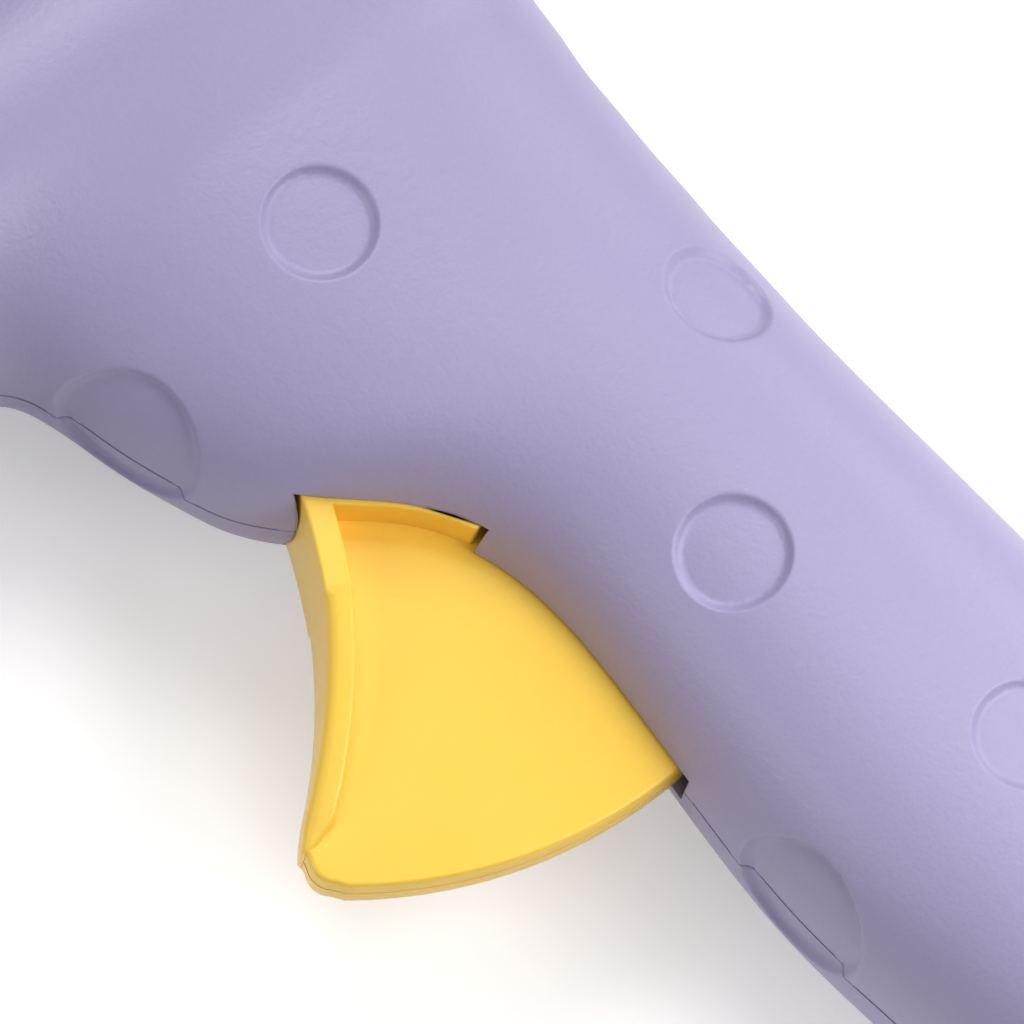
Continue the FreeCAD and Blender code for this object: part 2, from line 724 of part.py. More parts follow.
def lead_shape(side):
    """One insulated lead: forward along the barrel, round a bend and down the handle."""
    radius = size("lead_radius")
    points = [Vector(x, y, side) for x, y in LEAD_ROUTE]
    tail = Vector(points[0].x, points[0].y, -3.0 if side == LEAD_SIDES[1] else -5.4)
    solid = Part.makeSphere(radius, points[0])
    points.insert(0, tail)
    for start, end in zip(points, points[1:]):
        run = Part.makeCylinder(radius, (end - start).Length, start, end - start)
        solid = solid.fuse(run)
        solid = solid.fuse(Part.makeSphere(radius, end))
    return solid


def make_leads():
    """Heater leads and the crimped splices that join them to the cord."""
    keep_shape("heater_leads", Part.makeCompound([lead_shape(side) for side in LEAD_SIDES]))
    along, level = LEAD_ROUTE[-1]
    splices = [rod(1.6, (along, level - 10, side), (along, level - 1, side)) for side in LEAD_SIDES]
    keep_shape("lead_splices", Part.makeCompound(splices))


def make_case_screws():
    """Cross-recessed pan-head case screws, put in from the left side."""
    seat = size("screw_seat")
    shank = size("screw_radius")
    head = size("screw_head_radius")
    screws = []
    for x, y in CASE_SCREWS:
        screw = rod(shank, (x, y, -seat), (x, y, 7.0)).fuse(rod(head, (x, y, -seat - 2.0), (x, y, -seat)))
        recess = block((x - 0.5, y - 1.8, -seat - 3.0), (x + 0.5, y + 1.8, -seat - 1.0))
        recess = recess.fuse(block((x - 1.8, y - 0.5, -seat - 3.0), (x + 1.8, y + 0.5, -seat - 1.0)))
        screws.append(screw.cut(recess))
    keep_shape("case_screws", Part.makeCompound(screws))


def make_stand():
    """Wire bail under the barrel, folded back along it."""
    radius = size("stand_wire_radius")
    along = size("stand_pivot_along")
    level = size("stand_pivot_level")
    side = size("stand_half_width")
    reach = along + size("stand_reach")
    points = [
        Vector(along, level, -4.4), Vector(along, level, -side), Vector(reach, level, -side),
        Vector(reach, level, side), Vector(along, level, side), Vector(along, level, 4.4),
    ]
    wire = Part.makeSphere(radius, points[1])
    for start, end in zip(points, points[1:]):
        wire = wire.fuse(Part.makeCylinder(radius, (end - start).Length, start, end - start))
    for corner in points[2:5]:
        wire = wire.fuse(Part.makeSphere(radius, corner))
    keep_shape("wire_stand", wire)


# ---------------------------------------------------------------- finish

def overall_box():
    """Exact bounding box of all the pieces."""
    box = FreeCAD.BoundBox()
    for piece in pieces:
        box.add(piece.Shape.optimalBoundingBox(False))
    return box


def place_all():
    """Shift every piece so that the origin is the bottom centre of the gun, to a micrometre."""
    box = overall_box()
    centre = ((box.XMin + box.XMax) / 2, (box.YMin + box.YMax) / 2, box.ZMin)
    shift = Vector(*[round(-value, 3) for value in centre])
    for piece in pieces:
        piece.Placement.Base = piece.Placement.Base + shift
    document.recompute()
    return shift


def check_and_write():
    """Refuse a failed object, then write each piece to its own file."""
    for item in document.Objects:
        if "Invalid" in item.State or "Error" in item.State:
            raise RuntimeError(item.Label + " failed: " + str(item.State))
    for piece in pieces:
        shape = piece.Shape
        if shape.isNull() or not shape.isValid() or not shape.Solids:
            raise RuntimeError(piece.Label + " has no valid solid")
    os.makedirs("parts", exist_ok=True)
    for piece in pieces:
        piece.Shape.exportStep(f"parts/{piece.Label}.step")


def main():
    """Build the gun piece by piece, place it and write it."""
    fill_sheet()
    make_housing()
    drive_tip = make_trigger()
    make_pins(drive_tip)
    make_return_spring()
    make_carriage(drive_tip)
    make_jaw(drive_tip)
    make_guide_rod()
    make_nozzle()
    make_melting_end()
    make_stick_guide()
    make_cord_inlet()
    make_leads()
    make_case_screws()
    make_stand()
    shift = place_all()
    check_and_write()
    print("shift to the row frame, mm:", [round(value, 4) for value in shift])
    for piece in pieces:
        box = piece.Shape.optimalBoundingBox(False)
        print(f"{piece.Label}: {len(piece.Shape.Solids)} solid, {piece.Shape.Volume:.0f} mm3, "
              f"{box.XLength:.1f} x {box.YLength:.1f} x {box.ZLength:.1f}")


main()
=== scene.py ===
"""Looks of a hot-melt glue gun that lies on its side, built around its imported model.

Lengths in the classes are millimetres in the gun's own datum: X along the barrel with the nozzle
towards -X, Y up the gun with the handle towards -Y, Z across it with the parting plane at Z = 0.
`Datum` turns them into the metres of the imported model.
"""
import json
import logging
import math
from dataclasses import dataclass, field
from enum import Enum
from typing import Callable, Sequence

import bmesh
import bpy
import numpy as np
from mathutils import Matrix, Vector


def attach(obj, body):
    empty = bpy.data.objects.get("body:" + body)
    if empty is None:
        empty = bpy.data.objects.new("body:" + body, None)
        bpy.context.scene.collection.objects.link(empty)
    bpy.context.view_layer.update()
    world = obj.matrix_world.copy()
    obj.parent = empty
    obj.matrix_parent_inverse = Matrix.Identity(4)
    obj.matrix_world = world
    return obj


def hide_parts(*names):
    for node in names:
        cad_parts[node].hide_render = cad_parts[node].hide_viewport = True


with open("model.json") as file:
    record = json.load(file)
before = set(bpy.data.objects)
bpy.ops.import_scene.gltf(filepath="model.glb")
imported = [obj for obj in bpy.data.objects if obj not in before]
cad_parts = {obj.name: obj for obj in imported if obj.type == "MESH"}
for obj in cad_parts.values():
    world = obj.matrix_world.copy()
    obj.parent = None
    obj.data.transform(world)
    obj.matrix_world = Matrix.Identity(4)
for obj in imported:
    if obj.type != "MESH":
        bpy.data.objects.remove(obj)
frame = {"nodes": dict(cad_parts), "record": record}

LOG = logging.getLogger("glue_gun")
MM = 0.001
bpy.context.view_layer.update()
TRIGGER_PIVOT = (5.2, -30.5)

Point = tuple[float, float, float]
Colour = tuple[float, float, float]
Flat = tuple[float, float]
Solid = tuple[np.ndarray, list[list[int]]]
Field = Callable[[np.ndarray], np.ndarray]


# ------------------------------------------------------------------ place and colour

class Datum:
    """The gun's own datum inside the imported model."""

    INLET_ALONG = 29.5

    def __init__(self, record: dict) -> None:
        """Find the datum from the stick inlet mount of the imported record.

        Args:
            record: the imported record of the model.
        """
        inlet = next(mount for mount in record["mounts"] if mount["name"] == "stick_inlet")
        self.origin = Vector(inlet["pos_m"]) - Vector((self.INLET_ALONG * MM, 0.0, 0.0))

    def place(self, x: float, y: float, z: float = 0.0) -> Vector:
        """Model place, in metres, of a datum place in millimetres."""
        return self.origin + Vector((x, y, z)) * MM

    def array(self, points: np.ndarray) -> np.ndarray:
        """Model places, in metres, of an array of datum places."""
        return points * MM + np.array(self.origin)


def linear(red: int, green: int, blue: int) -> Colour:
    """Linear colour of a screen colour written from 0 to 255.

    Args:
        red: red part.
        green: green part.
        blue: blue part.

    Returns:
        The three linear parts, from 0 to 1.
    """
    parts = []
    for value in (red, green, blue):
        share = value / 255
        parts.append(share / 12.92 if share <= 0.04045 else ((share + 0.055) / 1.055) ** 2.4)
    return tuple(parts)


# ------------------------------------------------------------------ shader maths

class Sheet:
    """The node tree of one material, with one way to add any node."""

    def __init__(self, name: str) -> None:
        """Start an empty material with an output and a Principled shader.

        Args:
            name: name of the material.
        """
        self.material = bpy.data.materials.new(name)
        self.material.use_nodes = True
        self.tree = self.material.node_tree
        self.tree.nodes.clear()
        self.shader = self.node("ShaderNodeBsdfPrincipled")
        self.output = self.node("ShaderNodeOutputMaterial", None, {"Surface": self.shader.outputs["BSDF"]})

    def node(self, kind: str, settings: dict | None = None, sockets: dict | None = None) -> bpy.types.Node:
        """Add a node.

        Args:
            kind: node type.
            settings: properties of the node, set first.
            sockets: values or links of its inputs, by name or index.

        Returns:
            The node.
        """
        item = self.tree.nodes.new(kind)
        for key, value in (settings or {}).items():
            setattr(item, key, value)
        for key, value in (sockets or {}).items():
            self.feed(item.inputs[key], value)
        return item

    def feed(self, socket: bpy.types.NodeSocket, value: object) -> None:
        """Link a wire or socket to an input, or set its value.

        Args:
            socket: the input.
            value: a wire, an output socket, a colour or a plain value.
        """
        if isinstance(value, Wire):
            self.tree.links.new(value.socket, socket)
        elif isinstance(value, bpy.types.NodeSocket):
            self.tree.links.new(value, socket)
        elif isinstance(value, tuple) and len(value) == 3 and socket.type == "RGBA":
            socket.default_value = (*value, 1.0)
        else:
            socket.default_value = value

    def set(self, **sockets: object) -> None:
        """Feed inputs of the Principled shader; underscores stand for spaces."""
        for key, value in sockets.items():
            self.feed(self.shader.inputs[key.replace("_", " ")], value)

    def position(self) -> bpy.types.NodeSocket:
        """Object coordinates, which stay with the piece as it moves."""
        return self.node("ShaderNodeTexCoord").outputs["Object"]

    def noise(self, scale: float, detail: float, roughness: float,
              stretch: Point | None = None) -> "Wire":
        """Noise over the surface.

        Args:
            scale: features per metre.
            detail: octaves.
            roughness: share of the finer octaves.
            stretch: scale along each axis before the noise is read.

        Returns:
            Values from 0 to 1, about 0.5 on average.
        """
        where = self.position()
        if stretch:
            stretched = self.node("ShaderNodeVectorMath", {"operation": "MULTIPLY"}, {0: where, 1: stretch})
            where = stretched.outputs[0]
        sockets = {"Vector": where, "Scale": scale, "Detail": detail, "Roughness": roughness}
        return Wire(self, self.node("ShaderNodeTexNoise", None, sockets).outputs["Fac"])

    def mix(self, share: "Wire | float", first: object, second: object) -> bpy.types.NodeSocket:
        """Blend two colours.

        Args:
            share: 0 for the first colour, 1 for the second.
            first: colour or socket.
            second: colour or socket.

        Returns:
            The blended colour's socket.
        """
        sockets = {"Factor": share, 6: first, 7: second}
        return self.node("ShaderNodeMix", {"data_type": "RGBA"}, sockets).outputs[2]

    def bump(self, height: "Wire", strength: float, distance: float) -> None:
        """Feed the shader's Normal with a bump.

        Args:
            height: height, from 0 to 1.
            strength: share of the bump that shows.
            distance: height of the full range, in metres.
        """
        sockets = {"Strength": strength, "Distance": distance, "Height": height}
        item = self.node("ShaderNodeBump", None, sockets)
        self.set(Normal=item.outputs["Normal"])


class Wire:
    """A value socket that can be used in arithmetic."""

    def __init__(self, sheet: Sheet, socket: bpy.types.NodeSocket) -> None:
        """Wrap an output socket of a sheet."""
        self.sheet = sheet
        self.socket = socket

    def _math(self, operation: str, first: object, second: object = 0.0) -> "Wire":
        """Add one Math node."""
        item = self.sheet.node("ShaderNodeMath", {"operation": operation}, {0: first, 1: second})
        return Wire(self.sheet, item.outputs[0])

    def __add__(self, other: object) -> "Wire":
        """Sum."""
        return self._math("ADD", self, other)

    __radd__ = __add__

    def __sub__(self, other: object) -> "Wire":
        """Difference."""
        return self._math("SUBTRACT", self, other)

    def __rsub__(self, other: object) -> "Wire":
        """Difference, the other way round."""
        return self._math("SUBTRACT", other, self)

    def __mul__(self, other: object) -> "Wire":
        """Product."""
        return self._math("MULTIPLY", self, other)

    __rmul__ = __mul__

    def clamp(self, low: float, high: float) -> "Wire":
        """Keep between two limits."""
        return self._math("MINIMUM", self._math("MAXIMUM", self, low), high)

    def band(self, low: float, high: float) -> "Wire":
        """Rise from 0 to 1 between two values."""
        return ((self - low) * (1.0 / (high - low))).clamp(0.0, 1.0)


# ------------------------------------------------------------------ finishes

@dataclass(frozen=True)
class SparkPlastic:
    """Moulded plastic with the fine matte grain of a spark-eroded mould."""

    name: str
    colour: Colour
    worn: Colour
    roughness: float = 0.42
    grain: float = 2600.0
    relief: float = 0.00011

    def make(self) -> bpy.types.Material:
        """Build the material.

        Returns:
            The material.
        """
        sheet = Sheet(self.name)
        grain = sheet.noise(self.grain, detail=3.0, roughness=0.62)
        cells = sheet.noise(self.grain * 0.42, detail=1.0, roughness=0.5)
        cloud = sheet.noise(45.0, detail=3.0, roughness=0.5)
        sheet.set(
            Base_Color=sheet.mix(grain.band(0.30, 0.75) * 0.25 + cloud * 0.35, self.colour, self.worn),
            Roughness=self.roughness + (grain - 0.5) * 0.22 + (cloud - 0.5) * 0.06,
            Specular_IOR_Level=0.5,
        )
        sheet.bump(grain * 0.6 + cells * 0.6, strength=0.55, distance=self.relief)
        return sheet.material


@dataclass(frozen=True)
class SatinPlastic:
    """Smooth moulded plastic with a faint flow pattern and small rub marks."""

    name: str
    colour: Colour
    worn: Colour
    roughness: float = 0.38
    relief: float = 0.00002
    subsurface: float = 0.0

    def make(self) -> bpy.types.Material:
        """Build the material.

        Returns:
            The material.
        """
        sheet = Sheet(self.name)
        grain = sheet.noise(5200.0, detail=2.0, roughness=0.5)
        flow = sheet.noise(110.0, detail=3.0, roughness=0.55, stretch=(1.0, 1.0, 3.0))
        rubs = sheet.noise(900.0, detail=2.0, roughness=0.6, stretch=(0.25, 1.0, 1.0))
        sheet.set(
            Base_Color=sheet.mix(flow * 0.5 + grain * 0.1, self.colour, self.worn),
            Roughness=self.roughness + (rubs - 0.5) * 0.16 + (grain - 0.5) * 0.08,
            Subsurface_Weight=self.subsurface,
            Subsurface_Radius=(1.0, 0.6, 0.2),
            Subsurface_Scale=0.002,
        )
        sheet.bump(grain * 0.7 + flow * 0.3, strength=0.4, distance=self.relief)
        return sheet.material


@dataclass(frozen=True)
class TurnedMetal:
    """Metal with fine turning marks round the barrel axis, or drawing marks along it."""

    name: str
    colour: Colour
    dull: Colour
    roughness: float
    marks: Point = (60.0, 1.0, 1.0)

    def make(self) -> bpy.types.Material:
        """Build the material.

        Returns:
            The material.
        """
        sheet = Sheet(self.name)
        marks = sheet.noise(60.0, detail=3.0, roughness=0.6, stretch=self.marks)
        stain = sheet.noise(260.0, detail=4.0, roughness=0.6)
        sheet.set(
            Base_Color=sheet.mix(stain.band(0.35, 0.75), self.colour, self.dull),
            Metallic=1.0,
            Roughness=self.roughness + (stain - 0.5) * 0.25 + (marks - 0.5) * 0.12,
        )
        sheet.bump(marks, strength=0.35, distance=0.00003)
        return sheet.material


@dataclass(frozen=True)
class SoftRubber:
    """Matte silicone or rubber with a dusty grain."""

    name: str
    colour: Colour
    dusty: Colour
    roughness: float = 0.72

    def make(self) -> bpy.types.Material:
        """Build the material.

        Returns:
            The material.
        """
        sheet = Sheet(self.name)
        grain = sheet.noise(2600.0, detail=3.0, roughness=0.6)
        dust = sheet.noise(320.0, detail=4.0, roughness=0.65)
        sheet.set(
            Base_Color=sheet.mix(dust.band(0.4, 0.8) * 0.6, self.colour, self.dusty),
            Roughness=self.roughness + (dust - 0.5) * 0.2,
        )
        sheet.bump(grain * 0.8 + dust * 0.4, strength=0.5, distance=0.00005)
        return sheet.material


@dataclass(frozen=True)
class BraidedSleeve:
    """Woven sleeving on the heater leads."""

    name: str
    colour: Colour
    thread: Colour

    def make(self) -> bpy.types.Material:
        """Build the material.

        Returns:
            The material.
        """
        sheet = Sheet(self.name)
        settings = {"wave_type": "BANDS", "bands_direction": "DIAGONAL"}
        sockets = {"Vector": sheet.position(), "Scale": 420.0, "Distortion": 1.5}
        weave = Wire(sheet, sheet.node("ShaderNodeTexWave", settings, sockets).outputs["Fac"])
        sheet.set(Base_Color=sheet.mix(weave, self.colour, self.thread), Roughness=0.62 + weave * 0.15)
        sheet.bump(weave, strength=0.6, distance=0.0001)
        return sheet.material


class Finish(Enum):
    """Every finish of the gun."""

    HOUSING = SparkPlastic("lilac_spark", linear(159, 151, 188), linear(167, 159, 195))
    TRIGGER = SatinPlastic("amber_satin", linear(255, 207, 72), linear(255, 214, 92), roughness=0.36,
                           subsurface=0.12)
    COLLAR = SparkPlastic("charcoal_spark", linear(64, 61, 72), linear(76, 72, 84), roughness=0.5)
    WORKS = SatinPlastic("ivory_satin", linear(232, 229, 221), linear(222, 217, 206), roughness=0.45)
    STEEL = TurnedMetal("zinc_steel", linear(200, 201, 205), linear(168, 170, 176), roughness=0.3)
    WIRE = TurnedMetal("drawn_wire", linear(208, 209, 212), linear(176, 178, 184), roughness=0.24,
                       marks=(1.0, 40.0, 40.0))
    BRASS = TurnedMetal("turned_brass", linear(214, 178, 106), linear(184, 142, 82), roughness=0.27)
    ALUMINIUM = TurnedMetal("cast_aluminium", linear(214, 215, 217), linear(186, 187, 190), roughness=0.42)
    NOZZLE_RUBBER = SoftRubber("amber_silicone", linear(245, 196, 84), linear(250, 214, 130))
    GLAND_RUBBER = SoftRubber("lilac_rubber", linear(141, 133, 172), linear(160, 152, 188))
    INNER_RUBBER = SoftRubber("pale_silicone", linear(224, 220, 209), linear(234, 231, 222))
    LEADS = BraidedSleeve("braided_sleeve", linear(196, 78, 60), linear(226, 208, 196))
    CERAMIC = SatinPlastic("fired_ceramic", linear(232, 228, 216), linear(214, 208, 194), roughness=0.5)

    def material(self) -> bpy.types.Material:
        """The finish's material, made on first use."""
        return bpy.data.materials.get(self.value.name) or self.value.make()


def dress(piece: bpy.types.Object, finish: Finish) -> None:
    """Give a piece one finish.

    Args:
        piece: the piece.
        finish: its finish.
    """
    slots = piece.data.materials
    slots.clear()
    slots.append(finish.material())
    LOG.info("%s: %s", piece.name, finish.value.name)


# ------------------------------------------------------------------ smooth fields

class Curve:
    """Smooth curve through a few places of one size, a natural cubic spline."""

    def __init__(self, places: Sequence[float], values: Sequence[float]) -> None:
        """Work out the spline.

        Args:
            places: increasing places.
            values: value at each place.
        """
        self.places = np.array(places, float)
        self.values = np.array(values, float)
        gaps = np.diff(self.places)
        slopes = np.diff(self.values) / gaps
        count = len(self.places)
        system = np.eye(count)
        right = np.zeros(count)
        for index in range(1, count - 1):
            system[index, index - 1] = gaps[index - 1]
            system[index, index] = 2 * (gaps[index - 1] + gaps[index])
            system[index, index + 1] = gaps[index]
            right[index] = 6 * (slopes[index] - slopes[index - 1])
        self.bends = np.linalg.solve(system, right)

    def at(self, where: np.ndarray) -> np.ndarray:
        """Value at each place, held at the ends.

        Args:
            where: the places.

        Returns:
            The values.
        """
        where = np.clip(where, self.places[0], self.places[-1])
        index = np.clip(np.searchsorted(self.places, where) - 1, 0, len(self.places) - 2)
        gap = self.places[index + 1] - self.places[index]
        share = (where - self.places[index]) / gap
        rest = 1 - share
        straight = rest * self.values[index] + share * self.values[index + 1]
        bend = (rest ** 3 - rest) * self.bends[index] + (share ** 3 - share) * self.bends[index + 1]
        return straight + bend * gap * gap / 6


def soft_max(first: np.ndarray, second: np.ndarray, blend: float) -> np.ndarray:
    """Larger of two fields, rounded where they meet."""
    share = np.clip(0.5 + 0.5 * (first - second) / blend, 0, 1)
    return second + (first - second) * share + blend * share * (1 - share)


def soft_min(first: np.ndarray, second: np.ndarray, blend: float) -> np.ndarray:
    """Smaller of two fields, rounded where they meet."""
    return -soft_max(-first, -second, blend)


def ramp(value: np.ndarray) -> np.ndarray:
    """Smooth rise from 0 to 1."""
    share = np.clip(value, 0, 1)
    return share * share * (3 - 2 * share)


@dataclass(frozen=True)
class Dimple:
    """One round recess in the housing: a sunken disc with a sloping wall."""

    centre: Point
    outer: float = 5.15
    inner: float = 4.2
    depth: float = 0.75


@dataclass
class HousingForm:
    """Outer form of the housing as a field: below zero inside, above zero outside."""

    barrel_squareness: float = 2.05
    handle_squareness: float = 2.3
    blend: float = 4.0
    barrel_front: float = -72.0
    barrel_rear: float = 41.0
    butt_level: float = -114.0
    handle_top: float = -5.0
    front_rounding: float = 4.0
    rear_rounding: float = 9.0
    butt_rounding: float = 5.0
    deepest: float = -12.0
    recess_margin: float = 2.5
    dimples: list[Dimple] = field(default_factory=list)

    def __post_init__(self) -> None:
        """Lay out the sizes along the barrel and down the handle."""
        along = [-72, -66, -58, -40, -20, 0, 16, 28, 36, 42]
        self.barrel_level = Curve(along, [0.4, 0.8, 1.4, 2.1, 2.4, 2.4, 2.3, 1.8, 1.1, 0.6])
        self.barrel_height = Curve(along, [11.4, 13.6, 14.9, 16.0, 16.2, 16.2, 16.1, 15.6, 14.3, 12.4])
        self.barrel_width = Curve(along, [11.8, 14.4, 16.0, 17.2, 17.45, 17.4, 17.2, 16.5, 15.0, 12.4])
        levels = [-114, -102, -90, -76, -66, -57, -49.5, -44, -38.6, -35.0, -31, -25, -19, -13.5, -5, 2]
        front = [12, 10, 8.2, 8.1, 8.4, 8.05, 5.9, 2, -4.5, -8, -10.2, -12.7, -14.6, -16.9, -20, -22]
        back = [48.4, 47.2, 45.8, 44.2, 43, 41.9, 41.2, 40.9, 40.6, 40.5, 40.3, 40.2, 40.3, 40.4, 38.5, 36]
        width = [17.3, 16.7, 15.8, 15, 14.6, 14.3, 14.2, 14.2, 14.3, 14.4, 14.5, 14.7, 14.9, 15, 15, 15]
        self.handle_front = Curve(levels, front)
        self.handle_back = Curve(levels, back)
        self.handle_width = Curve(levels, width)

    def tube(self, first: np.ndarray, second: np.ndarray, half_first: np.ndarray,
             half_second: np.ndarray, power: float) -> np.ndarray:
        """Distance to a squarish tube, measured from its centre line.

        Args:
            first: place from the centre line, one way.
            second: place from the centre line, the other way.
            half_first: half size the first way.
            half_second: half size the second way.
            power: exponent of the section, 2 for an ellipse.

        Returns:
            The field of the tube.
        """
        total = np.abs(first / half_first) ** power + np.abs(second / half_second) ** power
        shape = np.maximum(total ** (1 / power), 0.05)
        reach = np.sqrt(first * first + second * second) + 1e-9
        return np.maximum(reach * (1 - 1 / shape), self.deepest)

    def plain(self, points: np.ndarray) -> np.ndarray:
        """Field of barrel and handle, without the dimples.

        Args:
            points: datum places.

        Returns:
            The field at each place.
        """
        x, y, z = points[:, 0], points[:, 1], points[:, 2]
        drop = y - self.barrel_level.at(x)
        height, width = self.barrel_height.at(x), self.barrel_width.at(x)
        barrel = self.tube(drop, z, height, width, self.barrel_squareness)
        barrel = soft_max(barrel, x - self.barrel_rear, self.rear_rounding)
        barrel = soft_max(barrel, self.barrel_front - x, self.front_rounding)
        front = self.handle_front.at(y)
        back = self.handle_back.at(y)
        depth = x - (front + back) / 2
        width = self.handle_width.at(y)
        handle = self.tube(depth, z, (back - front) / 2, width, self.handle_squareness)
        handle = soft_max(handle, self.butt_level - y, self.butt_rounding)
        handle = soft_max(handle, y - self.handle_top, self.front_rounding)
        return soft_min(barrel, handle, self.blend)

    def slope(self, points: np.ndarray, of: Field) -> np.ndarray:
        """Gradient of a field, by small steps.

        Args:
            points: datum places.
            of: the field.

        Returns:
            The gradient at each place.
        """
        step = 0.02
        parts = []
        for axis in range(3):
            shift = np.zeros(3)
            shift[axis] = step
            parts.append((of(points + shift) - of(points - shift)) / (2 * step))
        return np.stack(parts, axis=1)

    def onto(self, points: np.ndarray, of: Field, rounds: int = 6) -> np.ndarray:
        """Move points along the gradient onto the zero surface of a field.

        Args:
            points: datum places.
            of: the field.
            rounds: how many times the points are moved.

        Returns:
            The moved points.
        """
        for _ in range(rounds):
            slope = self.slope(points, of)
            length = np.maximum((slope ** 2).sum(axis=1), 0.05)
            points = points - slope * (of(points) / length)[:, None]
        return points

    def outward(self, points: np.ndarray, of: Field) -> np.ndarray:
        """Unit normal of a field at each point."""
        slope = self.slope(points, of)
        return slope / np.linalg.norm(slope, axis=1, keepdims=True)

    def settle(self) -> None:
        """Put every dimple's centre on the plain surface and keep its normal."""
        centres = np.array([dimple.centre for dimple in self.dimples], float)
        self.centres = self.onto(centres, self.plain, 12)
        self.axes = self.outward(self.centres, self.plain)

    def dimpled(self, points: np.ndarray) -> np.ndarray:
        """Field of the housing with its dimples.

        Args:
            points: datum places.

        Returns:
            The field at each place.
        """
        value = self.plain(points)
        for dimple, centre, axis in zip(self.dimples, self.centres, self.axes):
            gap = points - centre
            near = np.linalg.norm(gap, axis=1) < dimple.outer + self.recess_margin
            if not near.any():
                continue
            away = gap[near] @ axis
            radius = np.linalg.norm(gap[near] - away[:, None] * axis, axis=1)
            value[near] += dimple.depth * ramp((dimple.outer - radius) / (dimple.outer - dimple.inner))
        return value


class Lattice:
    """Quads on the zero surface of a field, taken from a regular grid."""

    def __init__(self, low: Point, high: Point, step: float) -> None:
        """Lay out the grid.

        Args:
            low: lowest corner.
            high: highest corner.
            step: size of a cell.
        """
        self.low = np.array(low, float)
        self.step = step
        self.counts = np.ceil((np.array(high) - self.low) / step).astype(int) + 1

    def surface(self, of: Field) -> tuple[np.ndarray, np.ndarray]:
        """Quad mesh of the zero surface.

        Args:
            of: the field.

        Returns:
            Points and quads; each quad faces out.
        """
        axes = [self.low[k] + self.step * np.arange(self.counts[k]) for k in range(3)]
        grid = np.stack(np.meshgrid(*axes, indexing="ij"), axis=-1)
        values = of(grid.reshape(-1, 3)).reshape(self.counts)
        inside = values < 0
        cells = tuple(self.counts - 1)
        total = np.zeros((*cells, 3))
        number = np.zeros(cells)
        corners = [(a, b, c) for a in (0, 1) for b in (0, 1) for c in (0, 1)]
        for start in corners:
            for axis in range(3):
                if start[axis]:
                    continue
                end = list(start)
                end[axis] = 1
                first = values[tuple(slice(s, s + n) for s, n in zip(start, cells))]
                second = values[tuple(slice(s, s + n) for s, n in zip(end, cells))]
                crossed = (first < 0) != (second < 0)
                share = np.where(crossed, first / np.where(crossed, first - second, 1), 0)
                for k in range(3):
                    total[..., k] += crossed * (start[k] + (share if k == axis else 0))
                number += crossed
        used = number > 0
        label = np.full(cells, -1)
        label[used] = np.arange(used.sum())
        base = np.stack(np.nonzero(used), axis=1)
        points = self.low + self.step * (base + total[used] / number[used][:, None])
        return points, self._quads(inside, label)

    def _quads(self, inside: np.ndarray, label: np.ndarray) -> np.ndarray:
        """Quads round every grid edge that the surface crosses.

        Args:
            inside: whether each grid point is inside.
            label: number of each cell's point, or -1.

        Returns:
            Four point numbers for each quad.
        """
        quads = []
        for axis in range(3):
            one, two = [(1, 2), (2, 0), (0, 1)][axis]
            first = np.take(inside, range(inside.shape[axis] - 1), axis)
            second = np.take(inside, range(1, inside.shape[axis]), axis)
            for flip, crossed in ((False, first & ~second), (True, ~first & second)):
                where = np.stack(np.nonzero(crossed), axis=1)
                where = where[(where[:, one] > 0) & (where[:, two] > 0)]
                where = where[(where[:, one] < label.shape[one]) & (where[:, two] < label.shape[two])]
                ring = []
                for back_one, back_two in ((1, 1), (0, 1), (0, 0), (1, 0)):
                    cell = where.copy()
                    cell[:, one] -= back_one
                    cell[:, two] -= back_two
                    ring.append(label[cell[:, 0], cell[:, 1], cell[:, 2]])
                ring = np.stack(ring[::-1] if flip else ring, axis=1)
                quads.append(ring[(ring >= 0).all(axis=1)])
        return np.concatenate(quads)


# ------------------------------------------------------------------ mesh helpers

def piece_from(name: str, points: np.ndarray, faces: Sequence[Sequence[int]],
               datum: Datum) -> bpy.types.Object:
    """Object in the scene from datum points and faces.

    Args:
        name: name of the piece.
        points: datum places.
        faces: corners of each face.
        datum: the gun's datum.

    Returns:
        The object.
    """
    mesh = bpy.data.meshes.new(name)
    mesh.from_pydata(datum.array(points).tolist(), [], [list(map(int, face)) for face in faces])
    mesh.update()
    piece = bpy.data.objects.new(name, mesh)
    bpy.context.scene.collection.objects.link(piece)
    return piece


def prism(outline: Sequence[Flat], low: float, high: float) -> Solid:
    """Closed prism along Z.

    Args:
        outline: corners in X and Y.
        low: lower end.
        high: upper end.

    Returns:
        Points and faces.
    """
    count = len(outline)
    points = np.array([(x, y, z) for z in (low, high) for x, y in outline])
    around = [[k, (k + 1) % count, (k + 1) % count + count, k + count] for k in range(count)]
    return points, [list(range(count))[::-1], [k + count for k in range(count)], *around]


def tube_mesh(start: Point, end: Point, radius: float, sides: int = 40) -> Solid:
    """Closed cylinder between two datum places.

    Args:
        start: centre of one end.
        end: centre of the other end.
        radius: its radius.
        sides: number of flat sides.

    Returns:
        Points and faces.
    """
    axis = Vector(end) - Vector(start)
    turn = axis.to_track_quat("Z", "Y").to_matrix()
    points = []
    for height in (0.0, axis.length):
        for k in range(sides):
            angle = 2 * math.pi * k / sides
            corner = Vector((radius * math.cos(angle), radius * math.sin(angle), height))
            points.append(Vector(start) + turn @ corner)
    around = [[k, (k + 1) % sides, (k + 1) % sides + sides, k + sides] for k in range(sides)]
    return np.array(points), [list(range(sides))[::-1], [k + sides for k in range(sides)], *around]


